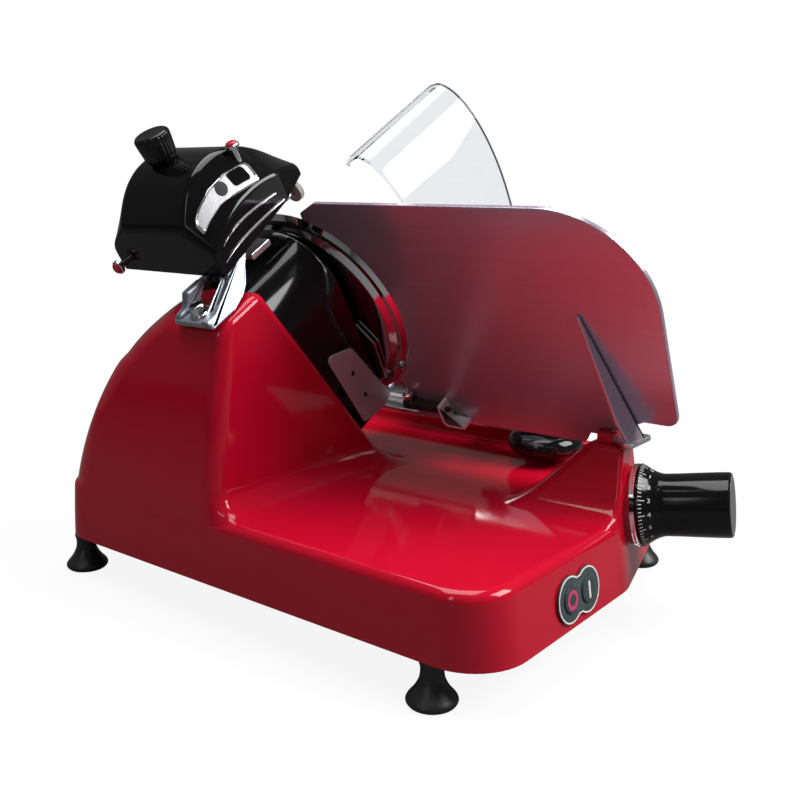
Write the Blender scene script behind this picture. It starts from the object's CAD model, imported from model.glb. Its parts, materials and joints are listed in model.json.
"""Looks of a red electric meat slicer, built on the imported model.

The machine's corner is the floor under its front left foot: x runs across to the carriage side, y away from
the operator and z up. The cut lies in a plane leaning back by 30 degrees: n is the distance from that plane
towards the carriage, y runs as before, and s climbs in the plane from the height of the tray.
"""

import json
import math

import bmesh
import bpy
import numpy as np
from mathutils import Matrix, Vector


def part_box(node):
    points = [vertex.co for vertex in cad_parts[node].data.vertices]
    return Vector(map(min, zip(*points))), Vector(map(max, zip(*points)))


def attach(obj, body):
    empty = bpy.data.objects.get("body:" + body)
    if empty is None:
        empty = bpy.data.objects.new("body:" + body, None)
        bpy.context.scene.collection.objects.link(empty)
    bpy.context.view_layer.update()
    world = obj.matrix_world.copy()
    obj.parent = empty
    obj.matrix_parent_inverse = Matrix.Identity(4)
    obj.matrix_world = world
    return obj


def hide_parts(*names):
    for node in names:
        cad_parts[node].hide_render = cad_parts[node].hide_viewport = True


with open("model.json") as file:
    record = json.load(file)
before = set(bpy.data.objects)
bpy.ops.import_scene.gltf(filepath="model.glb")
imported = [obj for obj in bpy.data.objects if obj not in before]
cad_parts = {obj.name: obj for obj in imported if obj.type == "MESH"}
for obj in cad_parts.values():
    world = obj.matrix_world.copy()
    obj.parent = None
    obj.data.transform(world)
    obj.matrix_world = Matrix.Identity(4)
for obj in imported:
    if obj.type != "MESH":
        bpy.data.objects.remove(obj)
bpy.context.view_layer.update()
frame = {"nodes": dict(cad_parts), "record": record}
foot_low, foot_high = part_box("foot_front_left")
CORNER = np.array([(foot_low.x + foot_high.x) / 2, (foot_low.y + foot_high.y) / 2, 0.0])


def points_from(start, directions, distances):
    """Points from distances in millimetres: the start plus each distance along its own direction."""
    parts = np.broadcast_arrays(*[np.asarray(each, float) for each in distances])
    return start + np.stack(parts, -1) @ np.asarray(directions) * 0.001


def in_machine(x, y, z):
    """Points from distances along the machine's own axes."""
    return points_from(CORNER, np.eye(3), (x, y, z))


# Camera: the photograph was taken from the front left, a little above the hump, with a normal lens.
camera_data = bpy.data.cameras.new("camera")
camera_data.sensor_width = 36.0
camera_data.lens = 45.2
camera_data.clip_start = 0.02
camera = bpy.data.objects.new("camera", camera_data)
bpy.context.scene.collection.objects.link(camera)
right = Vector((0.6185, -0.7859, 0.0)).normalized()
ahead = Vector((0.7673, 0.6039, -0.2164)).normalized()
above = right.cross(ahead).normalized()
turn = Matrix((right, above, -ahead)).transposed().to_4x4()
camera.matrix_world = Matrix.Translation(Vector(in_machine(-503.2, -368.3, 350.0))) @ turn
bpy.context.scene.camera = camera
bpy.context.scene.view_settings.view_transform = "Standard"


# Base of the casting. The real one is die-cast aluminium: a box with drafted walls, a bent front and a flat
# tray on top with soft edges, open underneath, sprayed and baked in a deep red gloss enamel.
BOTTOM, WALL_TOP, TRAY, ROUND_EDGE = 34.0, 80.0, 89.0, 9.0
LEFT, RIGHT, FRONT, REAR = -11.0, 350.0, -53.5, 416.0
DRAFT = math.radians(8)
BEND_X = 185.0
BEND = (RIGHT - BEND_X) * math.tan(math.radians(15.6))
BASE_PLAN = [(LEFT, REAR), (LEFT, FRONT), (BEND_X, FRONT), (RIGHT, FRONT + BEND), (RIGHT, REAR)]
BASE_RADII = np.array([36.0, 45.0, 60.0, 22.0, 36.0])


class Level:
    """One number or colour in a finish. Adding to it or multiplying it puts in the Math node."""

    def __init__(self, finish, socket):
        self.finish = finish
        self.socket = socket

    def join(self, operation, first, second):
        return self.finish.add("ShaderNodeMath", {"operation": operation}, {0: first, 1: second})

    def __add__(self, other):
        return self.join("ADD", self, other)

    def __mul__(self, other):
        return self.join("MULTIPLY", self, other)


class Finish:
    """A material with its main shader; add() puts in any other node and returns one of its outputs."""

    def __init__(self, name, **constants):
        self.data = bpy.data.materials.new(name)
        self.data.use_nodes = True
        self.tree = self.data.node_tree
        self.shader = self.tree.nodes["Principled BSDF"]
        self.set(**constants)

    def set(self, **values):
        """Set or link the main shader's sockets: base_color sets Base Color, and so on."""
        for key, value in values.items():
            self.feed(self.shader.inputs[key.replace("_", " ").title().replace("Ior", "IOR")], value)

    def feed(self, target, value):
        if isinstance(value, Level):
            self.tree.links.new(value.socket, target)
        elif isinstance(value, tuple) and len(value) == 3 and target.type == "RGBA":
            target.default_value = (*value, 1.0)
        else:
            target.default_value = value

    def add(self, kind, settings=None, sockets=None, output=0):
        node = self.tree.nodes.new(kind)
        for key, value in (settings or {}).items():
            setattr(node, key, value)
        for key, value in (sockets or {}).items():
            self.feed(node.inputs[key], value)
        return Level(self, node.outputs[output])

    def spot(self, scale=(1.0, 1.0, 1.0), centre=(0.0, 0.0, 0.0)):
        """Object coordinates moved and stretched, so that grain can run one way."""
        place = self.add("ShaderNodeTexCoord", output=3)
        return self.add("ShaderNodeMapping", {}, {"Vector": place, "Location": centre, "Scale": scale})

    def noise(self, scale, where=None, detail=3.0, roughness=0.55):
        sockets = {"Scale": scale, "Detail": detail, "Roughness": roughness}
        sockets["Vector"] = where or self.add("ShaderNodeTexCoord", output=3)
        return self.add("ShaderNodeTexNoise", {}, sockets)

    def fit(self, level, low, high, start=0.3, end=0.7):
        """Stretch a level from one range to another."""
        return self.add("ShaderNodeMapRange", {}, {"Value": level, "From Min": start, "From Max": end,
                                                   "To Min": low, "To Max": high})

    def blend(self, factor, first, second):
        node = self.tree.nodes.new("ShaderNodeMix")
        node.data_type = "RGBA"
        for socket, value in zip((node.inputs[0], node.inputs[6], node.inputs[7]), (factor, first, second)):
            self.feed(socket, value)
        return Level(self, node.outputs[2])

    def bump(self, height, strength, distance):
        normal = self.add("ShaderNodeBump", {}, {"Height": height, "Strength": strength, "Distance": distance})
        self.set(normal=normal)

    def edge_wear(self, low=0.52, high=0.6):
        """How sharply the surface stands out, 0 to 1: the pointiness of the mesh between two levels."""
        point = self.add("ShaderNodeNewGeometry", output=7)
        return self.fit(point, 0.0, 1.0, low, high)


def unit(ways):
    """Directions brought to length 1."""
    return ways / np.maximum(np.linalg.norm(ways, axis=-1, keepdims=True), 1e-9)


def ring_of(corners, radii, steps=8, spare=0):
    """Closed outline: each corner turns in an arc of its radius about a centre on its bisector, and spare
    points stand along each straight side, closest near its ends."""
    here = np.asarray(corners, float)
    back = unit(np.roll(here, 1, 0) - here)
    onward = unit(np.roll(here, -1, 0) - here)
    half = np.arccos(np.clip((back * onward).sum(1), -1, 1)) / 2
    radius = np.maximum(np.asarray(radii, float), 1e-3)
    centre = here + unit(back + onward) * (radius / np.sin(half))[:, None]
    start = here + back * (radius / np.tan(half))[:, None] - centre
    side = np.where(back[:, 0] * onward[:, 1] - back[:, 1] * onward[:, 0] > 0, -1.0, 1.0)
    angle = (side * (math.pi - 2 * half))[:, None] * np.linspace(0, 1, steps + 1)
    x = start[:, :1] * np.cos(angle) - start[:, 1:] * np.sin(angle)
    y = start[:, :1] * np.sin(angle) + start[:, 1:] * np.cos(angle)
    arcs = centre[:, None] + np.stack([x, y], -1)
    if spare:
        share = (1 - np.cos(np.pi * np.arange(1, spare + 1) / (spare + 1))) / 2
        first, last = arcs[:, -1:], np.roll(arcs[:, :1], -1, 0)
        arcs = np.concatenate([arcs, first + (last - first) * share[None, :, None]], 1)
    return arcs.reshape(-1, 2)


def moved_in(corners, distance):
    """A convex outline with every side moved in: each corner goes along the sum of its two sides' normals."""
    here = np.asarray(corners, float)
    before = unit(here - np.roll(here, 1, 0))
    after = unit(np.roll(here, -1, 0) - here)
    normal = np.stack([-before[:, 1] - after[:, 1], before[:, 0] + after[:, 0]], 1)
    return here + normal * (2 * distance / (normal ** 2).sum(1))[:, None]


def outward(ring):
    """Unit normals of a closed outline: the direction between each point's neighbours, turned outwards."""
    along = np.roll(ring, -1, 0) - np.roll(ring, 1, 0)
    return unit(np.stack([along[:, 1], -along[:, 0]], 1))


def draft_in(level):
    """How far the drafted walls have come in at a height: the height over the bottom times tan 8 degrees."""
    return (np.clip(level, BOTTOM, WALL_TOP) - BOTTOM) * math.tan(DRAFT)


def left_in(level):
    """How far the left wall has come in: 23 mm times the share of the climb to the peak, to the power 1.67."""
    return 23.0 * (np.maximum(level - BOTTOM, 0.0) / 230.0) ** 1.67


def base_ring(height, inward=0.0):
    """Plan of the base at a height: the plan moved in by the draft, stretched back out on the left."""
    level = min(height, WALL_TOP)
    inset = draft_in(level) + inward
    outline = ring_of(moved_in(BASE_PLAN, inset), np.maximum(BASE_RADII - inset, 2.0), 12)
    outline[:, 0] -= (RIGHT - outline[:, 0]) * (draft_in(level) - left_in(level)) / (RIGHT - LEFT)
    return in_machine(outline[:, 0], outline[:, 1], height)


WELD = 0.0000004


def closed_skin(name, rings, around=False):
    """Mesh over rings of points: point j of ring i joins its neighbours, and the first and last ring are
    filled, or joined to each other where the rings run around."""
    rows = np.asarray(rings, float)
    count, across = rows.shape[:2]
    index = np.arange(count * across).reshape(count, across)
    first = index if around else index[:-1]
    second = np.roll(index, -1, 0) if around else index[1:]
    quads = np.stack([first, np.roll(first, -1, 1), np.roll(second, -1, 1), second], -1).reshape(-1, 4)
    faces = quads.tolist()
    if not around:
        faces += [index[0].tolist(), index[-1].tolist()]
    mesh = bpy.data.meshes.new(name)
    mesh.from_pydata(rows.reshape(-1, 3).tolist(), [], faces)
    bm = bmesh.new()
    bm.from_mesh(mesh)
    bmesh.ops.remove_doubles(bm, verts=bm.verts, dist=WELD)
    bmesh.ops.recalc_face_normals(bm, faces=bm.faces)
    bm.to_mesh(mesh)
    bm.free()
    return mesh


def cut_out(mesh, *tools):
    """The mesh less its tools' shapes."""
    names = [mesh.name] + [tool.name for tool in tools]
    shapes = [bpy.data.objects.new(name + "_shape", data) for name, data in zip(names, (mesh, *tools))]
    for shape in shapes:
        bpy.context.scene.collection.objects.link(shape)
    for tool in shapes[1:]:
        less = shapes[0].modifiers.new("less", "BOOLEAN")
        less.operation = "DIFFERENCE"
        less.object = tool
        less.solver = "EXACT"
    done = shapes[0].evaluated_get(bpy.context.evaluated_depsgraph_get())
    result = bpy.data.meshes.new_from_object(done)
    for shape in shapes:
        bpy.data.objects.remove(shape, do_unlink=True)
    bpy.data.meshes.remove(mesh)
    result.name = names[0]
    return result


def paint(obj, material):
    obj.data.materials.clear()
    obj.data.materials.append(material)


def fasten(mesh, material, body, nodes=(), smooth=35.0, weighted=True):
    """A finished piece, named as its mesh: smooth where it is round, flat faces kept flat, riding on its body
    for its nodes."""
    mesh.shade_smooth()
    mesh.set_sharp_from_angle(angle=math.radians(smooth))
    piece = bpy.data.objects.new(mesh.name, mesh)
    bpy.context.scene.collection.objects.link(piece)
    paint(piece, material)
    if weighted:
        flat = piece.modifiers.new("flat faces", "WEIGHTED_NORMAL")
        flat.keep_sharp = True
        flat.weight = 60
    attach(piece, body)
    if nodes:
        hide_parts(*nodes)
    return piece


def shade(colour, times, plus=0.0):
    """A colour times a factor, plus a little grey, no brighter than white."""
    return tuple(min(1.0, c * times + plus) for c in colour)


def enamel(name, colour, deep):
    """Sprayed and baked enamel on a casting: even colour, faint ripple in the gloss, a slightly thinner coat
    on the sharp edges."""
    finish = Finish(name, specular_ior_level=0.34)
    cloud = finish.noise(6.0)
    thin = finish.edge_wear() * 0.35
    even = finish.blend(finish.fit(cloud, 0.0, 1.0), colour, deep)
    finish.set(base_color=finish.blend(thin, even, shade(colour, 1.25, 0.01)))
    finish.set(roughness=finish.fit(cloud, 0.07, 0.11))
    finish.bump(finish.noise(210.0, detail=1.0), 0.02, 0.0004)
    return finish.data


def round_edge(radius, steps):
    """Climb and distance in along a rounded edge: the radius times the sine, and times 1 less the cosine."""
    turned_by = np.radians(np.linspace(0, 90, steps))
    return list(zip(radius * np.sin(turned_by), radius * (1 - np.cos(turned_by))))


def block(name, low, high):
    """A box between two corners in the machine."""
    (left, front, bottom), (far, rear, top) = low, high
    return closed_skin(name, [in_machine([left, far, far, left], [front, front, rear, rear], z)
                              for z in (bottom, top)])


RED = enamel("red_enamel", (0.5, 0.003, 0.024), (0.48, 0.0035, 0.018))
rows = [base_ring(37.6, 4.0), base_ring(BOTTOM, 4.0), base_ring(BOTTOM, 0.6), base_ring(34.5, 0.0)]
rows += [base_ring(height) for height in np.linspace(40.0, 79.0, 9)]
rows += [base_ring(WALL_TOP + climb, into) for climb, into in round_edge(ROUND_EDGE, 12)]
rows += [base_ring(TRAY, 10.5), base_ring(TRAY, 16.0)]
rail_slot = block("rail_slot", (300, 27, 51), (362, 266, 69))
fasten(cut_out(closed_skin("casting_base", rows), rail_slot), RED, "base", ["body_casting"], smooth=40)


# Motor hump, turret of the thickness knob, raised rim and boss: the same casting and the same enamel. Each
# grows out of the tray in a hollow fillet that follows the rounded edge of the base where it reaches it.
def edge_drop(reach):
    """How far the rounded edge lies below the tray, by distance in from the wall: a quarter circle."""
    near = np.clip(reach, 0.0, ROUND_EDGE)
    return ROUND_EDGE - np.sqrt(ROUND_EDGE ** 2 - (ROUND_EDGE - near) ** 2)


def fillet_reach(rise, radius):
    """How far a hollow fillet reaches out, by the rise above what it stands on: a quarter circle."""
    lift = np.clip(rise, 0.0, radius)
    return radius - np.sqrt(np.maximum(radius ** 2 - (radius - lift) ** 2, 0.0))


PEAK_X, PEAK_Z, HUMP_FRONT = 50.0, 264.0, 205.0
LEAN = math.radians(30)
SLOPE = math.tan(LEAN)
RIGHT_FALL = 0.91
TOP_LEVEL = PEAK_Z - SLOPE * PEAK_X


def rear_wall(height):
    """Back of the hump: its depth follows a rounded-square curve of the share of the height."""
    squareness = 1.88
    share = np.clip((height - BOTTOM) / 240.0, 0.0, 1.0)
    return HUMP_FRONT + (REAR - HUMP_FRONT) * (1 - share ** squareness) ** (1 / squareness)


def hump_ring(level, lean=0.0, inward=0.0, fillet=24.0):
    """Ring of the hump in the plane z = level + lean x; its front and right side spread out by the fillet."""
    proud = np.interp(level, (74.0, 78.0), (-0.6, 0.05))
    left = LEFT - proud + left_in(level) + inward
    across = (PEAK_X + (PEAK_Z - level) * RIGHT_FALL) / (1 + lean * RIGHT_FALL) - inward
    front = HUMP_FRONT + inward
    back_left = rear_wall(level + lean * left) + 0.4 - inward
    back_right = max(rear_wall(level + lean * across) + 0.4 - inward, front + 12)
    room = 0.42 * min(across - left, back_right - front)
    radii = np.clip(np.array([38.0, 13.0, 10.0, 26.0]) - inward, 1.5, room)
    ring = ring_of([(left, back_left), (left, front), (across, front), (across, back_right)], radii, 10, 18)
    z = level + lean * ring[:, 0]
    wall = np.minimum(ring[:, 0] + 9.4, 409.5 - ring[:, 1])
    reach = fillet_reach(z - TRAY + edge_drop(wall), fillet)
    normal = outward(ring)
    x = ring[:, 0] + reach * np.maximum(normal[:, 0], 0.0)
    y = ring[:, 1] + reach * np.minimum(normal[:, 1], 0.0)
    return in_machine(x, y, z)


levels = np.concatenate([[38, 50, 62, 70, 75, 78], np.arange(79.5, 114, 1.25), np.arange(116, 196, 5.0)])
rows = [hump_ring(level) for level in levels]
for drop in np.linspace(38.0, 9.5, 12):
    rows.append(hump_ring(TOP_LEVEL - drop, SLOPE * np.interp(drop, (9.0, 39.0), (1.0, 0.0))))
rows += [hump_ring(TOP_LEVEL - 9 + climb, SLOPE, into) for climb, into in round_edge(9.0, 12)]
rows += [hump_ring(TOP_LEVEL, SLOPE, into) for into in (10.5, 15.0)]
fasten(closed_skin("casting_hump", rows), RED, "base", smooth=50)

front_outline = (base_ring(WALL_TOP) - CORNER)[:, :2] * 1000
across, away = front_outline.T
front_outline = front_outline[(away < 0) & (across > 30) & (across < 335)]
front_outline = front_outline[np.argsort(front_outline[:, 0])]


def front_wall(x, height):
    """Front of the base at a place across: the bent outline, leaning back with the height."""
    back = np.clip(height - WALL_TOP, 0, 9) * math.tan(DRAFT) + max(height - TRAY, 0.0) * 0.08
    return np.interp(x, front_outline[:, 0], front_outline[:, 1]) + back


def turret_ring(height, inward=0.0, fillet=15.0):
    """Ring of the turret: it narrows as it climbs, and its left, rear and right sides spread by the fillet."""
    share = max(height - TRAY, 0.0) / 53.5
    left, across, rear = 176 + 26 * share, 264 - 21 * share, 48 - 51 * share
    proud = np.interp(height, (72.0, 78.0), (-0.8, 0.06))
    near, far = front_wall(left, height) - proud, front_wall(across, height) - proud
    ring = ring_of([(left, rear), (left, near), (across, far), (across, rear)], [14.0, 3.0, 10.0, 14.0], 8, 22)
    normal = outward(ring)
    reach = fillet_reach(height - TRAY + edge_drop(ring[:, 1] - front_wall(ring[:, 0], WALL_TOP)), fillet)
    x = ring[:, 0] + (reach - inward) * normal[:, 0]
    y = ring[:, 1] + reach * np.maximum(normal[:, 1], 0.0) - inward * normal[:, 1]
    facing = np.clip(-normal[:, 1] * 4 - 3, 0.0, 1.0)
    y = y + facing * (front_wall(x, height) - proud + inward - y)
    return in_machine(x, y, height)


TURRET_TOP = 142.5
levels = np.concatenate([[64, 72, 76, 78], np.arange(79.5, 106, 1.0), np.arange(108, 138, 3.0)])
rows = [turret_ring(level) for level in levels]
rows += [turret_ring(TURRET_TOP - 4 + climb, into) for climb, into in round_edge(4.0, 8)]
rows.append(turret_ring(TURRET_TOP, 6.0))
stem_slot = block("stem_slot", (208.6, -22.5, 131.5), (234.5, -9.5, 150))
fasten(cut_out(closed_skin("casting_turret", rows), stem_slot), RED, "base", smooth=50)

rows = []
rim_steps = [(70, 0), (80, 0), (84, 0)] + [(88 + step, 0) for step in range(12)]
rim_steps += [(100 + climb, into) for climb, into in round_edge(4.0, 7)]
for height, inward in rim_steps:
    side = 350.4 - draft_in(height) - np.clip(height - WALL_TOP, 0, 24) * math.tan(DRAFT)
    ring = ring_of([(329.3, 374), (329.3, 52), (side, 52), (side, 374)], [5, 5, 1.5, 1.5], 5, 6)
    normal = outward(ring)
    reach = fillet_reach(height - TRAY + edge_drop(343.5 - ring[:, 0]), 7.0) - inward
    reach = np.where(normal[:, 0] > 0.5, -inward, reach)
    rows.append(in_machine(ring[:, 0] + reach * normal[:, 0], ring[:, 1] + reach * normal[:, 1], height))
fasten(closed_skin("casting_rim", rows), RED, "base", smooth=50)


def rounded_profile(points, radius, steps=5, closed=False):
    """Profile with soft corners: each becomes a quadratic curve between points on its two sides."""
    corner = np.asarray(points, float)
    t = np.linspace(0, 1, steps)[None, :, None]

    def toward(other):
        way = other - corner
        length = np.maximum(np.linalg.norm(way, axis=1, keepdims=True), 1e-9)
        return corner + way / length * np.minimum(radius, 0.45 * length)

    start = toward(np.roll(corner, 1, 0))[:, None]
    end = toward(np.roll(corner, -1, 0))[:, None]
    curve = (1 - t) ** 2 * start + 2 * t * (1 - t) * corner[:, None] + t ** 2 * end
    if closed:
        return curve.reshape(-1, 2)
    return np.concatenate([corner[:1], curve[1:-1].reshape(-1, 2), corner[-1:]])


def spun(name, profile, centre, axis, steps=96, closed=False):
    """Surface of revolution: radius r and height h turned about an axis through a centre, in millimetres."""
    axis = unit(np.asarray(axis, float))
    side = unit(np.cross(axis, (0.0, 1.0, 0.0) if abs(axis[1]) < 0.9 else (1.0, 0.0, 0.0)))
    other = np.cross(axis, side)
    angle = np.linspace(0, 2 * np.pi, steps, endpoint=False)[None, :, None]
    radius = np.asarray(profile)[:, 0][:, None, None] * 0.001
    height = np.asarray(profile)[:, 1][:, None, None] * 0.001
    rows = centre + radius * (np.cos(angle) * side + np.sin(angle) * other) + height * axis
    return closed_skin(name, rows, around=closed)


KNOB_CENTRE = in_machine(228.0, -42.0, 91.0)
turned_out, tipped_up = math.radians(16), math.radians(7)
KNOB_AXIS = np.array([math.sin(turned_out) * math.cos(tipped_up), -math.cos(turned_out) * math.cos(tipped_up),
                      math.sin(tipped_up)])
hollow = [(31.4 + into, -6.0 - climb) for climb, into in round_edge(7.0, 9)[::-1]]
boss = [(0, -30), (34, -26)] + hollow + [(31.2, -5.2), (30.6, -4.7), (0, -4.7)]
fasten(spun("casting_boss", boss, KNOB_CENTRE, KNOB_AXIS), RED, "base")


# Feet and cable gland. Soft rubber cones screwed up through the cover; the gland is a moulded sleeve with a
# clamping cap in the back wall.
def moulded(name, colour, gloss, grain, scale=700.0):
    """Moulded plastic or rubber: gloss sets how sharp it mirrors, grain how deep its texture is."""
    finish = Finish(name, specular_ior_level=0.4)
    cloud = finish.noise(14.0)
    speck = finish.noise(scale, detail=4.0)
    worn = finish.edge_wear(0.53, 0.62) * 0.5
    even = finish.blend(finish.fit(speck * 0.5 + cloud * 0.5, 0.0, 1.0), colour, shade(colour, 1.7, 0.003))
    finish.set(base_color=finish.blend(worn, even, shade(colour, 2.5, 0.02)))
    finish.set(roughness=finish.fit(cloud, gloss, gloss + 0.07) + worn * 0.1)
    finish.bump(speck, grain, 0.0003)
    return finish.data


RUBBER = moulded("foot_rubber", (0.011, 0.011, 0.011), 0.34, 0.3)
foot_profile = [(0, 0), (15.9375, 0), (18.75, 3.5), (17.625, 6.5), (12.75, 12), (9, 19), (8, 27), (10, 33.7),
                (3, 33.7), (3, 40.7), (0, 40.7)]
foot_profile = rounded_profile(foot_profile, 3.0, 6)
for foot in ("foot_front_left", "foot_front_right", "foot_rear_left", "foot_rear_right"):
    low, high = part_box(foot)
    under = np.array([(low.x + high.x) / 2, (low.y + high.y) / 2, 0.0])
    fasten(spun(foot + "_cone", foot_profile, under, (0, 0, 1), 64), RUBBER, "base", [foot])
MATT = moulded("black_fine_grain", (0.012, 0.012, 0.013), 0.36, 0.2)
low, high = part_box("cable_gland")
gland_at = np.array([(low.x + high.x) / 2, high.y, (low.z + high.z) / 2])
gland = [(4, -24), (7, -24), (7, -12), (11, -12), (11, -9.2), (8.4, -7), (8, -3), (6.6, 0), (4, 0)]
fasten(spun("gland_sleeve", rounded_profile(gland, 0.6, 4, True), gland_at, (0, 1, 0), 48, True),
       MATT, "base", ["cable_gland"])


# Hub housing: an arched glossy black moulding behind the blade that carries its bearings. Its face has a soft
# rounded border, and its rim stands on the slope of the hump.
CUT_START = in_machine(262.0, 0.0, TRAY)
TO_CARRIAGE = np.array([math.cos(LEAN), 0.0, math.sin(LEAN)])
UP_CUT = np.array([-math.sin(LEAN), 0.0, math.cos(LEAN)])
BLADE_Y, BLADE_S = 267.0, 165.5


def in_cut(n, y, s):
    """Points from distances n, y and s along the cut's directions."""
    return points_from(CUT_START, (TO_CARRIAGE, (0.0, 1.0, 0.0), UP_CUT), (n, y, s))


def moulding(name, colour, gloss):
    """Glossy moulded black: a smooth skin with faint sink marks and hair-fine wipe scratches."""
    finish = Finish(name, ior=1.36)
    cloud = finish.noise(11.0)
    wipe = finish.noise(1.0, finish.spot((40.0, 900.0, 40.0)), detail=3.0)
    worn = finish.edge_wear(0.53, 0.6) * 0.4
    even = finish.blend(finish.fit(cloud, 0.0, 1.0), colour, shade(colour, 1.5, 0.001))
    finish.set(base_color=finish.blend(worn, even, (0.035, 0.035, 0.037)))
    finish.set(roughness=finish.fit(cloud, gloss, gloss + 0.05) + finish.fit(wipe, 0.0, 0.05, 0.5, 0.8))
    finish.bump(cloud, 0.04, 0.002)
    return finish.data


GLOSS = moulding("black_gloss_moulding", (0.003, 0.003, 0.0033), 0.07)


def arch(inset, n):
    """Outline of the housing at a depth: straight sides 58 mm out, closed by a half circle, all moved in. Its
    foot ends where the deflector covers it, as the hump's slope shows red below."""
    radius = 58.0 - inset
    turned_by = np.radians(np.linspace(0, 180, 49))
    y = np.concatenate([[BLADE_Y + radius] * 8, BLADE_Y + radius * np.cos(turned_by), [BLADE_Y - radius] * 8])
    up = np.linspace(76 + inset, 199, 8)
    s = np.concatenate([up, 202 + radius * np.sin(turned_by), up[::-1]])
    return in_cut(n, y, s)


rows = [arch(0.0, n) for n in np.linspace(-94, -19, 8)]
rows += [arch(into, -18.3 + climb) for climb, into in round_edge(6.0, 10)]
rows += [arch(8.0, -12.3), arch(12.0, -12.3)]
fasten(closed_skin("housing_arch", rows), GLOSS, "base", ["hub_housing"], smooth=50)


# Blade, centre cap and ring guard. The blade is a ground and mirror-polished steel dish with a bevelled rim;
# the cap over its bolts is turned aluminium, and a dull steel guard, tinged by the red paint round it, closes
# the rear of the rim.
def polished(name, colour, rough, around=None, streak=1.0, grain=260.0, dull=0.0):
    """Ground and polished metal. Around is the move that brings the middle of turning marks to the origin;
    without it the marks run straight. They are noise squeezed across the way the tool ran, and dull is the
    share of grey haze."""
    finish = Finish(name, metallic=1.0 - dull)
    if around is None:
        where = finish.spot((grain * 4, 6.0, grain * 4))
    else:
        flat = finish.spot(centre=around)
        reach = finish.add("ShaderNodeVectorMath", {"operation": "LENGTH"}, {0: flat}, output=1)
        where = finish.add("ShaderNodeCombineXYZ", {}, {"X": reach * grain * 4})
    marks = finish.noise(1.0, where, detail=4.0, roughness=0.7)
    cloud = finish.noise(9.0)
    mottled = finish.fit(marks * 0.6 + cloud * 0.4, 0.0, 1.0)
    finish.set(base_color=finish.blend(mottled, shade(colour, 0.86), colour))
    finish.set(roughness=finish.fit(marks, rough - 0.03 * streak, rough + 0.05 * streak)
               + finish.fit(cloud, -0.02, 0.03))
    finish.bump(marks, 0.04 * streak, 0.0002)
    return finish.data


BLADE_AT = in_cut(0, BLADE_Y, BLADE_S)
blade_middle = tuple(-c for c in BLADE_AT)
BLADE_STEEL = polished("blade_steel", (0.74, 0.74, 0.76), 0.07, blade_middle, 0.6, 180.0)
TURNED = polished("turned_aluminium", (0.72, 0.72, 0.73), 0.2, blade_middle, 1.2, 120.0)
STEEL = polished("polished_steel", (0.7, 0.7, 0.72), 0.1)
blade = [(12, -8.5), (82.5, -8.5), (86, -7.8), (89.2, -5.6), (91.5, -4.3), (95.5, -3.9), (99.5, -0.4),
         (100, -0.1), (99.8, 0), (88.5, 0), (87.2, -0.3), (85.9, -1.2), (84.6, -2.6), (83.4, -3), (12, -3)]
fasten(spun("blade_disc", blade, BLADE_AT, TO_CARRIAGE, 192, True), BLADE_STEEL, "blade", ["blade"], smooth=14)
cap = rounded_profile([(0, -2.7), (78, -2.7), (78, -1.6), (76.5, -0.9), (26, -0.7), (22, -1.8), (0, -1.8)], 0.8)
fasten(spun("blade_cap", cap, BLADE_AT, TO_CARRIAGE, 128), TURNED, "blade", ["blade_centre_cap"])
guard_back = -11.9
swell = np.radians(np.linspace(0, 90, 9))
crown = np.stack([84 + 24 * np.sin(swell), guard_back + 10.5 * (1 - np.cos(swell))], 1)
section = np.concatenate([[(50, guard_back), (70, guard_back)], crown,
                          [(107.6, -0.7), (103.1, -0.6), (102.5, -1.2), (102, -4), (88, guard_back + 2),
                           (50, guard_back + 2)]])
span = np.radians(np.linspace(-62, 62, 97))[:, None]
rows = in_cut(section[:, 1], BLADE_Y + section[:, 0] * np.cos(span), BLADE_S + section[:, 0] * np.sin(span))
WARM_STEEL = polished("guard_steel", (0.66, 0.44, 0.36), 0.3, blade_middle, 0.6, 160.0, 0.25)
fasten(closed_skin("blade_guard_ring", rows), WARM_STEEL, "base", ["ring_guard"], smooth=30)


# Slice deflector: a dull, hazed steel sheet with two rivet holes that stands in front of the housing and turns
# the slices off the blade, and the small plate that holds it behind.
def slab(name, outline, low, high, edge, place):
    """Flat piece with soft edges: the outline runs up between two depths, moved in along its normals by a
    quarter circle of the edge at both ends, and place turns depth and outline into points."""
    x, y = outline.T
    if (x * np.roll(y, -1) - y * np.roll(x, -1)).sum() < 0:
        outline = outline[::-1]
    curve = round_edge(edge, 5)
    levels = [(low, edge + 0.8)] + [(low + into, edge - climb) for climb, into in curve]
    levels += [(high - edge + climb, into) for climb, into in curve] + [(high, edge + 0.8)]
    return closed_skin(name, [place(level, *(outline - outward(outline) * into).T) for level, into in levels])


def across_y(depth, n, s):
    """Slab points with the depth along y."""
    return in_cut(n, depth, s)


def across_n(depth, y, s):
    """Slab points with the depth along n."""
    return in_cut(depth, y, s)


outline = ring_of([(-64, 163), (-33, 151), (-9.5, 79), (-22, 75), (-53, 80)], [5, 4, 3, 4, 5], 6)
holes = [spun("rivet_hole", [(0, -6), (2.6, -6), (2.6, 6), (0, 6)], in_cut(n, 207.7, s), (0, 1, 0), 32)
         for n, s in ((-42.7, 129.4), (-38.6, 101.8))]
sheet = cut_out(slab("deflector_sheet", outline, 206.7, 208.7, 0.5, across_y), *holes)
HAZED = polished("deflector_steel", (0.5, 0.46, 0.5), 0.35, None, 0.6, 200.0, 0.5)
fasten(sheet, HAZED, "base", ["slice_deflector"])
ZINC = polished("plated_sheet", (0.5, 0.5, 0.52), 0.28, None, 1.4, 150.0)
outline = ring_of([(236, 133), (224, 165), (213, 160), (200, 140), (203, 101), (216, 95)], [4] * 6, 5)
fasten(slab("deflector_holder", outline, -12, -10.2, 0.4, across_n), ZINC, "base", ["deflector_bracket"])


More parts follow.
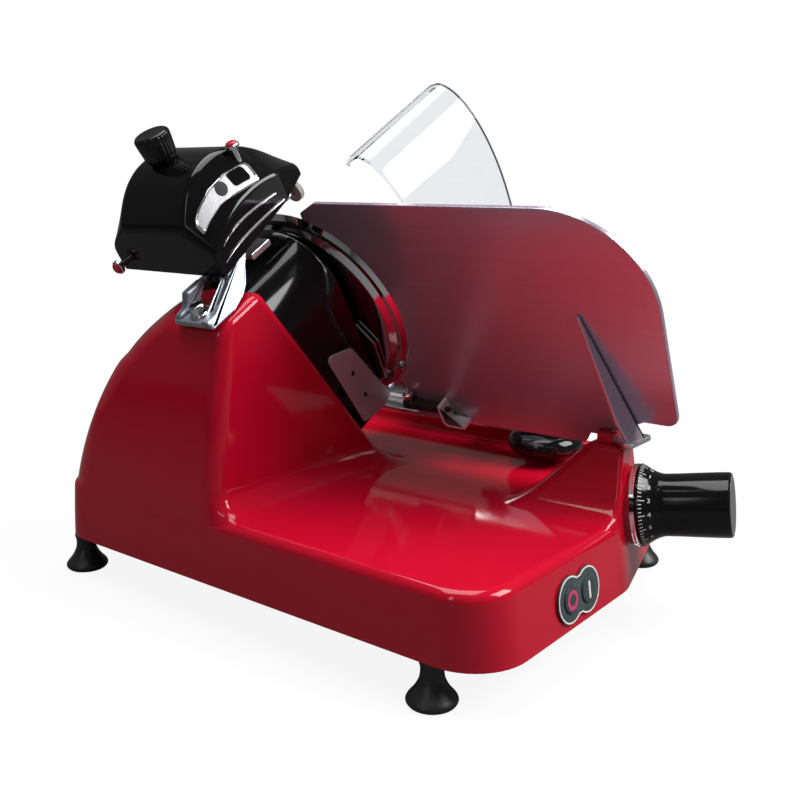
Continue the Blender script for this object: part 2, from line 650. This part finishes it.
# Gauge plate: a thick aluminium plate, fine-ground and hazed, with a large round front corner, a bay that
# follows the blade and a step for its arm. The arm is a thin fin of the same plate on a small cast foot, whose
# stem slides in the turret.
plate_steps = [(234, 269), (214, 279), (-82, 279), (-75, 87), (-46, 87), (-20, 73), (-6, 73), (-4, 66), (5, 66),
               (12, 54), (188, 52)]
plate_outline = ring_of(plate_steps, [2, 6, 82, 11, 1, 1, 1, 0.5, 0.5, 3, 8], 14)
BAY_RADIUS = 102.5
turned_by = np.linspace(math.radians(222), math.acos((234 - BLADE_Y) / BAY_RADIUS), 60)
bay = np.stack([BLADE_Y + BAY_RADIUS * np.cos(turned_by), BLADE_S + BAY_RADIUS * np.sin(turned_by)], 1)
PLATE = polished("plate_aluminium", (0.62, 0.5, 0.62), 0.24, None, 0.12, 60.0, 0.3)
fasten(slab("gauge_sheet", np.concatenate([plate_outline, bay]), -4.0, 0.0, 0.7, across_n), PLATE, "gauge",
       ["gauge_plate"], smooth=30)


def cast(name, colour, rough):
    """Cast and tumbled aluminium: soft pits and clouds, brighter where edges rub."""
    finish = Finish(name, metallic=1.0)
    pits = finish.noise(900.0, detail=5.0)
    cloud = finish.noise(20.0)
    even = finish.blend(finish.fit(cloud, 0.0, 1.0), shade(colour, 0.78), colour)
    finish.set(base_color=finish.blend(finish.edge_wear() * 0.6, even, (0.85, 0.85, 0.86)))
    finish.set(roughness=finish.fit(pits, rough - 0.05, rough + 0.1))
    finish.bump(pits, 0.15, 0.0003)
    return finish.data


def carried(node, material, smooth=35.0, edge=0.0):
    """A copy of a solid with its loose triangles joined, smooth where it is round, with a narrow soft edge."""
    bm = bmesh.new()
    bm.from_mesh(frame["nodes"][node].data)
    bmesh.ops.remove_doubles(bm, verts=bm.verts, dist=0.000002)
    mesh = bpy.data.meshes.new(node + "_fine")
    bm.to_mesh(mesh)
    bm.free()
    piece = fasten(mesh, material, BODY_OF[node], (node,), smooth, weighted=False)
    if edge:
        soft = piece.modifiers.new("soft edges", "BEVEL")
        soft.width = edge * 0.001
        soft.segments = 2
        soft.limit_method = "ANGLE"
        soft.angle_limit = math.radians(40)
        soft.harden_normals = True


def leaning_fin(h, n, s):
    """The fin leans 0.26 mm along the blade for each millimetre that it climbs."""
    return in_cut(n, -38 + (s - 88) * 0.26 + h, s)


def lying(h, x, y):
    """Slab points with the depth upwards, in the machine."""
    return in_machine(x, y, h)


BODY_OF = {node: body for body, nodes in frame["record"]["behaviour"]["bodies"].items() for node in nodes}
CAST = cast("cast_aluminium", (0.72, 0.72, 0.74), 0.3)
fin = ring_of([(-4.3, 188), (-6.6, 188), (-25, 100), (-25, 80.8), (-4.3, 69)], [0.4, 0.8, 12, 2, 0.4], 8)
fasten(slab("plate_fin", fin, -1.6, 1.6, 0.9, leaning_fin), PLATE, "gauge", ["plate_arm"])
fin_foot = ring_of([(197, -45), (236, -45), (236, -9), (219, -9), (197, -38)], [3, 5, 4, 6, 3], 6)
fasten(slab("fin_foot", fin_foot, 143.8, 148.5, 1.6, lying), CAST, "gauge")
low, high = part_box("plate_arm")
stem = ring_of([(223, -22), (234, -22), (234, -10), (223, -10)], [1] * 4, 3)
fasten(slab("fin_stem", stem, low.z * 1000, 144.5, 0.5, lying), CAST, "gauge")


# Link low on the plate: a dark rubber-covered rod behind the plate with a polished nut, held in a bent and
# plated sheet bracket.
link = rounded_profile([(0, 141), (2.6, 141), (2.6, 149.5), (4.6, 149.5), (5, 151), (5, 181), (5.6, 182),
                        (5.6, 190), (4.6, 191.5), (0, 191.5)], 0.7)
fasten(spun("link_bar", link, in_cut(-10.8, 0, 72), (0, 1, 0), 48), MATT, "gauge", ["link_rod"])
CLIP = moulded("plated_clip", (0.62, 0.61, 0.63), 0.3, 0.1)
steps = [(126, 56), (146, 56), (149, 60), (149, 80), (145.5, 80), (145.5, 62), (143, 60), (126, 60)]
outline = ring_of(steps, [0.8, 3, 3, 1.2, 1.2, 1.4, 1.4, 0.8], 6)
fasten(slab("link_clip", outline, -17.3, -4.3, 0.5, across_n), CLIP, "gauge", ["link_bracket"])
carried("link_nut", STEEL, 30, 0.4)


# Thickness knob: a glossy moulded grip, waisted behind its flange, with white numbers and ticks on the
# flange, a clear index ring behind it and a turned aluminium disc in its end.
KNOB_SIDE = unit(np.cross(KNOB_AXIS, (0.0, 0.0, 1.0)))
KNOB_UP = np.cross(KNOB_SIDE, KNOB_AXIS)
FLANGE, WAIST = 33.5, 25.0
FLANGE_START, FALL = 2.4, 18.6


def flange_radius(h):
    """Radius of the flange at a height: it falls to the waist along a quarter of a sine."""
    share = np.clip((h - FLANGE_START) / FALL, 0.0, 1.0)
    return WAIST + (FLANGE - WAIST) * (1 - np.sin(share * math.pi / 2))


heights = FLANGE_START + FALL * np.linspace(0, 1, 14)
flange = [(32.5, 0.1), (33.2, 0.3), (33.5, 1)] + list(zip(flange_radius(heights), heights))
grip = [(25.1, 30), (25.5, 45), (25.8, 60), (25.8, 68.6), (25.3, 70), (24.3, 70.7), (23.2, 70.9), (0, 70.9)]
fasten(spun("knob_grip", [(0, 46), (6.3, 46), (6.3, 0.1)] + flange + grip, KNOB_CENTRE, KNOB_AXIS, 128), GLOSS,
       "thickness", ["thickness_knob"], smooth=30)
DISC = polished("knob_disc", (0.8, 0.8, 0.81), 0.22)
disc = [(0, 70.2), (23.6, 70.2), (23.6, 70.85), (23.0, 71.0), (21.5, 70.95), (20.5, 70.6), (6, 70.5),
        (5, 70.3), (0, 70.3)]
fasten(spun("knob_disc", disc, KNOB_CENTRE, KNOB_AXIS, 96), DISC, "thickness")


def clear(name, tint, rough):
    """Clear acrylic: faint wipe marks, a tint that shows in its edges."""
    finish = Finish(name, transmission_weight=1.0, ior=1.2)
    wipe = finish.noise(30.0, finish.spot((1.0, 1.0, 6.0)), detail=4.0)
    finish.set(base_color=finish.blend(finish.fit(wipe, 0.0, 1.0), tint, shade(tint, 0.97)))
    finish.set(roughness=finish.fit(wipe, rough, rough + 0.03))
    finish.bump(wipe, 0.02, 0.0005)
    return finish.data


INDEX = clear("clear_index_ring", (0.9, 0.94, 1.0), 0.05)
index = [(7, -4.3), (32.9, -4.3), (33.5, -3.6), (33.5, -1.0), (32.9, -0.3), (7, -0.3)]
index = rounded_profile(index, 0.3, 4, True)
fasten(spun("index_disc", index, KNOB_CENTRE, KNOB_AXIS, 96, True), INDEX, "base", ["index_ring"])


def on_flange(angle, h, lift):
    """Points on the flange at an angle round the knob, a height along it and a lift off its surface."""
    radius = (flange_radius(h) + lift) * 0.001
    ring = np.cos(angle)[..., None] * KNOB_UP + np.sin(angle)[..., None] * KNOB_SIDE
    return KNOB_CENTRE + radius[..., None] * ring + (h * 0.001)[..., None] * KNOB_AXIS


def ink(name, colour):
    """Pad-printed ink: flat colour with pinholes that show as rougher spots."""
    finish = Finish(name, specular_ior_level=0.3)
    speck = finish.noise(900.0)
    finish.set(base_color=finish.blend(finish.fit(speck, 0.0, 1.0), colour, shade(colour, 0.85)))
    finish.set(roughness=finish.fit(speck, 0.4, 0.6))
    return finish.data


WHITE_INK = ink("white_ink", (0.8, 0.8, 0.78))
TICK_TURN, NUMBER_TURN = 5.6, 22.4


def tick(step):
    """One mark on the flange, 0.7 mm wide, every fourth one longer."""
    sides = math.radians(step * TICK_TURN) + 0.35 / 33 * np.array([[-1.0, 1.0, 1.0, -1.0]])
    h = np.linspace(2.6, 7.2 if step % 4 == 0 else 5.0, 5)[:, None]
    return closed_skin("tick", on_flange(sides, h, np.array([0.09, 0.09, -0.15, -0.15])))


def number_on_knob(number):
    """One printed number, bent onto the flange."""
    curve = bpy.data.curves.new("number", "FONT")
    curve.body = str(number)
    curve.size = 5.4
    curve.extrude = 0.12
    curve.align_x = "CENTER"
    curve.align_y = "CENTER"
    carrier = bpy.data.objects.new("number", curve)
    bpy.context.scene.collection.objects.link(carrier)
    flat = bpy.data.meshes.new_from_object(carrier.evaluated_get(bpy.context.evaluated_depsgraph_get()))
    bpy.data.objects.remove(carrier, do_unlink=True)
    spots = np.empty(len(flat.vertices) * 3)
    flat.vertices.foreach_get("co", spots)
    x, y, lift = spots.reshape(-1, 3).T
    angle = math.radians(number * NUMBER_TURN) - y / 31.0
    flat.vertices.foreach_set("co", on_flange(angle, 10.2 + x, lift).ravel())
    return flat


for name, marks in (("knob_ticks", map(tick, range(64))), ("knob_numbers", map(number_on_knob, range(16)))):
    together = bmesh.new()
    for mark in marks:
        together.from_mesh(mark)
    bmesh.ops.remove_doubles(together, verts=together.verts, dist=WELD)
    bmesh.ops.recalc_face_normals(together, faces=together.faces)
    mesh = bpy.data.meshes.new(name)
    together.to_mesh(mesh)
    together.free()
    fasten(mesh, WHITE_INK, "thickness", weighted=False)


# Switch: a two-lobed moulded panel with a pale border, seated in the front wall. Its two push buttons carry a
# pink-red ring for off and a white bar for on.
PANEL_AT = in_machine(107.0, FRONT + 23 * math.tan(DRAFT), 57.0)
PANEL_OUT = np.array([0.0, -math.cos(DRAFT), math.sin(DRAFT)])
PANEL_UP = np.array([0.0, math.sin(DRAFT), math.cos(DRAFT)])
APART, LOBE = 12.5, 17.5


def on_panel(h, x, y):
    """Points over the switch: out from the wall, across and up its slope."""
    return points_from(PANEL_AT, (PANEL_OUT, (1.0, 0.0, 0.0), PANEL_UP), (h, x, y))


def lobes(offset):
    """Two arcs of one radius about a centre on either side, joined at a waist."""
    turned_by = np.radians(np.linspace(-126, 126, 61))
    x, y = APART + (LOBE + offset) * np.cos(turned_by), (LOBE + offset) * np.sin(turned_by)
    return np.concatenate([np.stack([x, y], 1), np.stack([-x, -y], 1)])


PANEL = moulded("panel_grey_green", (0.03, 0.045, 0.045), 0.3, 0.15)
BORDER = moulded("panel_border", (0.62, 0.6, 0.6), 0.3, 0.1)
PINK_INK = ink("pink_red_ink", (0.62, 0.05, 0.16))
KEY = moulded("button_dark", (0.024, 0.036, 0.036), 0.25, 0.1)
holes = [spun("button_hole", [(0, -6), (10.25, -6), (10.25, 6), (0, 6)], on_panel(0, x, 0), PANEL_OUT, 64)
         for x in (-APART, APART)]
panel = slab("switch_panel", lobes(0.0), 0.3, 2.3, 0.5, on_panel)
fasten(cut_out(panel, *holes), PANEL, "base", ["switch_plate"])
border = [on_panel(h, *lobes(offset).T) for h, offset in
          ((2.0, -0.3), (2.35, -0.35), (2.42, -0.7), (2.42, -1.2), (2.35, -1.5), (2.0, -1.55))]
fasten(closed_skin("switch_border", border, around=True), BORDER, "base")
button = [(0, -1.2), (9.9, -1.2), (9.95, 3.1), (9.6, 3.6), (8.8, 3.85), (7.6, 3.8), (3.5, 3.6), (0, 3.55)]
for key, x, node in (("off_key", -APART, "off_button"), ("on_key", APART, "on_button")):
    fasten(spun(key, button, on_panel(0, x, 0), PANEL_OUT, 64), KEY, key, [node])
ring = [(4.4, 3.5), (4.4, 3.78), (7.3, 3.9), (7.3, 3.6)]
fasten(spun("mark_off", ring, on_panel(0, -APART, 0), PANEL_OUT, 64, True), PINK_INK, "off_key")
bar = ring_of([(11.2, -6.6), (13.8, -6.6), (13.8, 6.6), (11.2, 6.6)], [1.0] * 4, 4)
fasten(slab("mark_on", bar, 3.3, 3.84, 0.05, on_panel), WHITE_INK, "on_key")


# Sharpener bracket and clamp: a cast web that leans back under the hood, a second web behind it, a sole screwed
# upright to the peak of the hump and a shelf out of sight. The hood slides on a steel post in that shelf and is
# held by a ribbed black clamp knob.
FOOT = (PEAK_Z - TRAY) * math.cos(LEAN) + (262 - PEAK_X) * math.sin(LEAN) + 0.3
TAB, RIDGE_TOP = 272.0, 352.0
BRACKET = cast("cast_bracket", (0.36, 0.4, 0.46), 0.42)
face = [(-151, FOOT), (-126, FOOT), (-112, FOOT + 3), (-100, FOOT + 7), (-89, 271), (-80, 277), (-76, 286),
        (-106, 286), (-107, 275), (-114, 268.5), (-126, FOOT + 6.5), (-146, FOOT + 6), (-151, FOOT + 6)]
face = ring_of(face, [1, 3, 5, 6, 8, 6, 1, 1, 5, 12, 5, 2, 2], 8)


def leaning(h, n, s):
    """The front web leans back under the hood: 17 mm over the 15 mm above its foot."""
    return in_cut(n, 208 + h + 17 * np.clip((s - FOOT - 1.5) / 15.0, 0.0, 1.0), s)


def across_s(h, n, y):
    """Slab points with the depth along s."""
    return in_cut(n, y, h)


fasten(slab("bracket_arm", face, 0.0, 10.0, 1.6, leaning), BRACKET, "base", ["sharpener_bracket"])
rear = [(-149, FOOT), (-128, FOOT), (-118, 268), (-110, 276), (-132, 276), (-138, 266), (-149, FOOT + 7)]
rear = ring_of(rear, [1, 3, 6, 2, 3, 10, 4], 8)
fasten(slab("bracket_rear", rear, 246.0, 254.0, 1.6, across_y), BRACKET, "base")
sole = ring_of([(-151, 210), (-127, 210), (-127, 254), (-151, 254)], [3] * 4, 5)
fasten(slab("bracket_sole", sole, FOOT, FOOT + 4.5, 1.2, across_s), BRACKET, "base")
shelf = ring_of([(-71.8, 230), (-48.2, 230), (-48.2, 310), (-71.8, 310)], [1, 1, 8, 8], 6)
fasten(slab("bracket_shelf", shelf, TAB - 4.8, TAB + 0.8, 0.8, across_s), CAST, "base")
bolt = rounded_profile([(0, 0), (8.5, 0), (8.5, 1.6), (6.6, 2.2), (6.6, 8), (5.4, 9.4), (0, 9.8)], 0.9)
fasten(spun("bracket_screw", bolt, in_cut(-139, 233, FOOT + 4.2), UP_CUT, 48), STEEL, "base", ["bracket_bolt"])
POST_N, POST_Y = -60.0, 298.0
post = [(0, TAB + 1.1), (2.8, TAB + 1.1), (2.8, 363.4), (2.2, 364), (0, 364)]
fasten(spun("clamp_stud", post, in_cut(POST_N, POST_Y, 0), UP_CUT, 40), STEEL, "base", ["clamp_post"])
profile = rounded_profile([(0, 15.1), (5.5, 15.1), (5.5, 0.6), (12, 0.6), (13.4, 4.5), (14.9, 17.5), (15, 21.5),
                           (13, 23.6), (6, 23.2), (0, 23.2)], 1.2, 6)
around = np.linspace(0, 2 * np.pi, 240, endpoint=False)[None, :]
radius, height = profile[:, :1], profile[:, 1:]
RIBS = 24
ribbed = np.where((height > 3.5) & (height < 22.6) & (radius > 11),
                  0.5 * np.abs(np.sin(around * RIBS / 2)) - 0.5, 0.0)
reach = radius + ribbed
rows = in_cut(POST_N + reach * np.cos(around), POST_Y + reach * np.sin(around), RIDGE_TOP + height)
fasten(closed_skin("clamp_grip", rows), GLOSS, "clamp", ["clamp_knob"], smooth=50)


# Sharpener hood: a glossy black moulded cover with a soft ridge and a pale inlay on its sloping front that
# holds a dark square and a dark round mark, with two bright lines below. It covers the stones.
HOOD_FRONT, HOOD_BACK, HOOD_LOW, HOOD_END = 222.0, 350.0, 277.0, -110.0
RIDGE_N, SLOPE_DEEP = -52.0, 26.0


def narrowing(n):
    """How far the hood has drawn in, from 0 at 20 mm behind the blade's plane to 1 at 13 mm before it."""
    return np.maximum(0.0, (n + 20) / 33.0)


def hood_lines(n):
    """Front, lower edge, waist and top of the hood along n. The top falls off either side of the ridge by a
    power of the distance, and the lower edge climbs towards the carriage."""
    n = np.asarray(n, float)
    left, right = np.maximum(RIDGE_N - n, 0.0), np.maximum(n - RIDGE_N, 0.0)
    top = RIDGE_TOP - 35 * (left / 58.0) ** 2.6 - 38 * (right / 65.0) ** 1.8
    low = HOOD_LOW + (n - HOOD_END) * 0.17
    return HOOD_FRONT + 8 * narrowing(n), low, low + (top - low) * 0.5, top


def hood_ring(n, inward=0.0, sink=0.0):
    """Section of the hood, all moved in, with its lower edge sunk."""
    front, low, waist, top = hood_lines(n)
    front, back, top = front + inward, HOOD_BACK - 30 * narrowing(n) - inward, top - inward
    steps = [(front, low - sink), (front, waist), (front + SLOPE_DEEP, top), (back - SLOPE_DEEP, top),
             (back, waist), (back, low - sink)]
    return in_cut(n, *ring_of(steps, [1, 7, 9, 9, 7, 1], 8).T)


rows = [hood_ring(-106 - out, into) for out, into in round_edge(4.0, 7)[::-1]]
rows += [hood_ring(n) for n in np.linspace(-104, 9, 44)]
rows += [hood_ring(10 + out, into) for out, into in round_edge(3.0, 7)]
hollow = [hood_ring(n, 2.5, 6.0) for n in np.linspace(-107, 10, 30)]
post_hole = [(0, 0), (3.4, 0), (3.4, 90), (0, 90)]
post_hole = spun("post_hole", post_hole, in_cut(POST_N, POST_Y, HOOD_LOW), UP_CUT, 32)
hood = cut_out(closed_skin("hood_shell", rows), closed_skin("hood_hollow", hollow), post_hole)
fasten(hood, GLOSS, "sharpener", ["sharpener_hood"], smooth=40)


def on_slope(h, n, v):
    """Points over the hood's sloping front: v runs from its waist to its top, and below 0 down the upright
    wall under the waist; h stands off the surface."""
    front, low, waist, top = hood_lines(n)
    length = np.hypot(SLOPE_DEEP, top - waist)
    ahead = np.where(v < 0, -h, SLOPE_DEEP * v - h * (top - waist) / length)
    above = np.where(v < 0, 0.0, h * SLOPE_DEEP / length)
    return in_cut(n, front + ahead, waist + (top - waist) * v + above)


V_LENGTH = 40.0


def inlay(name, outline, low, high, material, edge=0.4):
    """Thin plate that follows the hood's slope: its outline shrinks in steps towards its middle."""
    middle = outline.mean(0)
    steps = [(low, 0.25), (low, 0.5), (low, 0.75), (low, 1.0), (high - edge, 1.0), (high, 0.965), (high, 0.75),
             (high, 0.5), (high, 0.25)]
    rows = [on_slope(h, *(middle + (outline - middle) * scale).T) for h, scale in steps]
    fasten(closed_skin(name, rows), material, "sharpener", smooth=40)


def scaled_ring(corners, radii):
    """Rounded outline in n and v, with v stretched to millimetres while its corners are rounded."""
    return ring_of(np.asarray(corners) * (1, V_LENGTH), radii, 8, 4) / (1, V_LENGTH)


INLAY = moulded("inlay_silver", (0.52, 0.52, 0.54), 0.3, 0.1)
BRIGHT = polished("bright_trim", (0.85, 0.85, 0.86), 0.12)
corners = [(-104, 0.36), (-38, 0.04), (-34, 0.5), (-103, 0.68)]
outer = scaled_ring(corners, [3, 4, 4, 3])
inner = outer.mean(0) + (outer - outer.mean(0)) * (0.95, 0.82)
rim = [on_slope(h, *ring.T) for h, ring in ((0.2, outer), (2.1, outer), (2.5, outer * 0.7 + inner * 0.3),
                                            (2.5, outer * 0.3 + inner * 0.7), (2.1, inner), (0.2, inner))]
fasten(closed_skin("trim_border", rim, around=True), BRIGHT, "sharpener", ["hood_trim"], smooth=40)
inlay("trim_inlay", inner, 0.3, 1.7, INLAY)
square = scaled_ring([(-60, 0.24), (-43, 0.16), (-41, 0.48), (-59, 0.54)], [3] * 4)
inlay("trim_square", square, 1.0, 2.2, GLOSS)
turned_by = np.radians(np.linspace(0, 360, 48, endpoint=False))
disc = np.stack([-70 + 5.5 * np.cos(turned_by), 0.42 + 5.5 * np.sin(turned_by) / V_LENGTH], 1)
inlay("trim_disc", disc, 1.0, 2.2, MATT)
lift, wide = np.array([(-0.3, -0.02), (1.1, -0.02), (1.5, -0.008), (1.5, 0.008), (1.1, 0.02), (-0.3, 0.02)]).T
for name, start, end in (("trim_line_upper", (-100, -0.22), (-30, -0.52)),
                         ("trim_line_lower", (-104, -0.62), (-24, -0.86))):
    rows = [on_slope(lift, n, v + wide) for n, v in np.linspace(start, end, 30)]
    fasten(closed_skin(name, rows), BRIGHT, "sharpener", smooth=40)


# Sharpener's inner parts: a cast body in the hood, two grit stones on steel axles, and for each a steel rod
# with a red dome to press it against the blade.
carried("sharpener_body", CAST, 35, 0.8)
BUTTON_RED = moulded("button_red", (0.36, 0.012, 0.02), 0.16, 0.1)
DEBURR_AT, GRIND_AT = in_cut(-36, 240, 0), in_cut(0, 341, 285)
stem = [(0, 282), (3, 282), (3, 348), (6, 349), (6, 351.2), (5.2, 351.8), (0, 351.8)]
fasten(spun("deburr_stem", stem, DEBURR_AT, UP_CUT, 40), STEEL, "deburrer", ["deburr_pusher"])
dome = rounded_profile([(0, 351.4), (4.9, 351.4), (4.9, 352.4), (3.4, 353.8), (0, 354)], 0.7)
fasten(spun("deburr_dome", dome, DEBURR_AT, UP_CUT, 40), BUTTON_RED, "deburrer")
bar = [(0, -37), (2.6, -37), (2.6, 9.5), (0, 9.5)]
fasten(spun("deburr_bar", bar, in_cut(0, 240, 285), TO_CARRIAGE, 32), STEEL, "deburrer")
strap = ring_of([(256.5, 281), (344, 281), (344, 289), (256.5, 289)], [3] * 4, 5)
fasten(slab("grind_strap", strap, -103, -99, 0.8, across_n), STEEL, "grinder", ["grind_pusher"])
stem = [(0, 100), (3, 100), (3, 116.6), (6, 117.6), (6, 120), (5.2, 120.6), (0, 120.6)]
fasten(spun("grind_stem", stem, GRIND_AT, -TO_CARRIAGE, 40), STEEL, "grinder")
dome = rounded_profile([(0, 120.2), (4.9, 120.2), (4.9, 121.3), (3.4, 122.8), (0, 123)], 0.7)
fasten(spun("grind_dome", dome, GRIND_AT, -TO_CARRIAGE, 40), BUTTON_RED, "grinder")
axle = [(0, -101), (3, -101), (3, -10.8), (0, -10.8)]
fasten(spun("grind_axle", axle, in_cut(0, 262.5, 287), TO_CARRIAGE, 32), STEEL, "grinder")
STONE = moulded("stone_grit", (0.3, 0.28, 0.26), 0.8, 0.8, 1500.0)
for node in ("grinding_stone", "deburring_stone"):
    carried(node, STONE, 35, 0.3)


# Carriage: a cast arm on the rail, a sheet table with its fence, a large black lock knob, and a clear bent
# acrylic guard between the hand and the blade.
TABLE = polished("table_sheet", (0.72, 0.72, 0.74), 0.26, None, 1.0, 160.0)
carried("carriage_arm", CAST, 30, 1.0)
carried("carriage_table", TABLE, 30, 0.5)
lock = rounded_profile([(0, 97), (21, 97), (30.1, 99.5), (35, 105), (35, 111), (30.8, 117), (14, 121),
                        (14, 123.7), (4, 123.7), (4, 149), (0, 149)], 3.0, 8)
fasten(spun("lock_knob", lock, in_machine(297, 88, 0), (0, 0, 1), 96), GLOSS, "carriage_lock",
       ["carriage_knob"])
climb = np.radians(np.linspace(0, 86, 40))
path = np.concatenate([[(126, 148), (126, 170), (126, 190)],
                       np.stack([168 - 42 * np.cos(climb), 205 + 106 * np.sin(climb)], 1),
                       [(173, 309.2), (176, 306.4), (178.5, 303)]])
along = np.gradient(path, axis=0)
normal = unit(np.stack([-along[:, 1], along[:, 0]], 1))
CLEAR = clear("clear_acrylic", (0.84, 0.86, 0.88), 0.01)
GUARD_THICK = 3.5
bent = np.concatenate([path + normal * GUARD_THICK / 2, (path - normal * GUARD_THICK / 2)[::-1]])
fasten(slab("guard_sheet", bent, 15.0, 140.0, 0.5, across_n), CLEAR, "carriage", ["hand_guard"], smooth=45)


# Meat pusher: a toothed plate on a sleeve that slides and swings on a steel rod, with a turned black grip.
ROD_AT = in_cut(0, 149, 118)
rod = [(0, 5.5), (4.4, 5.5), (5, 6.1), (5, 140.9), (4.4, 141.5), (0, 141.5)]
fasten(spun("pusher_bar", rod, ROD_AT, TO_CARRIAGE, 48), STEEL, "carriage", ["pusher_rod"])
hub = rounded_profile([(5.3, 12.6), (12, 12.6), (12, 15.6), (9, 15.6), (9, 39.6), (12, 39.6), (12, 42.6),
                       (5.3, 42.6)], 0.6, 5, True)
fasten(spun("pusher_bush", hub, ROD_AT, TO_CARRIAGE, 64, True), MATT, "pusher_carrier", ["pusher_hub"])
sleeve = rounded_profile([(9.3, 15.9), (13, 15.9), (13, 39.3), (9.3, 39.3)], 0.8, 5, True)
fasten(spun("pusher_tube", sleeve, ROD_AT, TO_CARRIAGE, 64, True), CAST, "pusher", ["pusher_sleeve"])
carried("meat_pusher", TABLE, 35, 0.4)
GRIP_START = 22.2
grip = [(0, 0), (11, 0), (11, 3), (7, 8), (9, 20), (13, 38), (14, 52), (12, 62), (7, 67), (0, 68)]
grip = spun("pusher_handle", rounded_profile(grip, 6.0, 8), in_cut(GRIP_START, 215, 84), TO_CARRIAGE, 64)
fasten(grip, GLOSS, "pusher", ["pusher_grip"])


# Inner works: the motor with its belt drive, the bearings, the slide and rail with their blocks, and the
# sheet cover under the base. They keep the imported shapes, with their own finishes.
for material, edge, nodes in (
        (MATT, 0.5, ("motor", "switch_box")),
        (RUBBER, 0.3, ("drive_belt",)),
        (STEEL, 0.0, ("blade_shaft", "slide_rod", "rail_rod", "bearing_front", "bearing_rear")),
        (CAST, 0.0, ("bearing_carrier", "blade_pulley")),
        (ZINC, 0.0, ("bottom_cover", "motor_bracket", "motor_pulley", "rod_bracket", "knob_spindle",
                     "rail_block_front", "rail_block_rear"))):
    for node in nodes:
        carried(node, material, 35, edge)


# Floor and light: a pale sweep that shows white to the camera but keeps the shadow, a large soft lamp above
# in front on the right, a weaker one on the left and a strip behind.
floor_mesh = bpy.data.meshes.new("floor")
floor_mesh.from_pydata([(-4, -4, 0), (4, -4, 0), (4, 4, 0), (-4, 4, 0)], [], [(0, 1, 2, 3)])
floor = bpy.data.objects.new("floor", floor_mesh)
bpy.context.scene.collection.objects.link(floor)
ground = Finish("pale_floor", roughness=0.7, specular_ior_level=0.1)
seen = ground.add("ShaderNodeLightPath", output=0)
ground.set(base_color=ground.blend(seen, (0.16, 0.155, 0.155), (0.9, 0.9, 0.9)))
away = ground.add("ShaderNodeVectorMath", {"operation": "LENGTH"}, {0: ground.spot((1.0, 1.0, 1.0))}, output=1)
share = ground.fit(away, 0.9, 1.0, 0.3, 0.8)
glow = ground.add("ShaderNodeEmission", {}, {"Color": (1.0, 1.0, 1.0), "Strength": 1.0})
mixed = ground.add("ShaderNodeMixShader", {}, {0: seen * share})
for source, target in ((ground.shader.outputs[0], mixed.socket.node.inputs[1]),
                       (glow.socket, mixed.socket.node.inputs[2]),
                       (mixed.socket, ground.tree.nodes["Material Output"].inputs["Surface"])):
    ground.tree.links.new(source, target)
paint(floor, ground.data)

world = bpy.data.worlds.new("studio")
bpy.context.scene.world = world
world.use_nodes = True
tree = world.node_tree
room = tree.nodes["Background"]
backdrop = tree.nodes.new("ShaderNodeBackground")
for light, strength in ((room, 0.12), (backdrop, 1.0)):
    light.inputs["Color"].default_value = (1, 1, 1, 1)
    light.inputs["Strength"].default_value = strength
path = tree.nodes.new("ShaderNodeLightPath")
either = tree.nodes.new("ShaderNodeMath")
either.operation = "MAXIMUM"
choice = tree.nodes.new("ShaderNodeMixShader")
for source, target in ((path.outputs["Is Camera Ray"], either.inputs[0]),
                       (path.outputs["Is Transmission Ray"], either.inputs[1]),
                       (either.outputs[0], choice.inputs[0]),
                       (room.outputs[0], choice.inputs[1]),
                       (backdrop.outputs[0], choice.inputs[2]),
                       (choice.outputs[0], tree.nodes["World Output"].inputs["Surface"])):
    tree.links.new(source, target)


def soft_lamp(name, place, target, size, power):
    """A soft box at a place, facing a target."""
    data = bpy.data.lights.new(name, "AREA")
    data.shape = "RECTANGLE"
    data.size, data.size_y = size
    data.energy = power
    lamp = bpy.data.objects.new(name, data)
    bpy.context.scene.collection.objects.link(lamp)
    heading = Vector(target) - Vector(place)
    lamp.matrix_world = Matrix.Translation(place) @ heading.to_track_quat("-Z", "Y").to_matrix().to_4x4()


soft_lamp("lamp_key", (0.7, -1.5, 1.5), (0, 0, 0.15), (1.2, 1.0), 52)
soft_lamp("lamp_top", (-0.1, 0.2, 1.9), (0, 0, 0.1), (1.4, 1.4), 34)
soft_lamp("lamp_left", (-1.9, -0.1, 1.1), (0, 0, 0.15), (0.25, 0.9), 2.5)
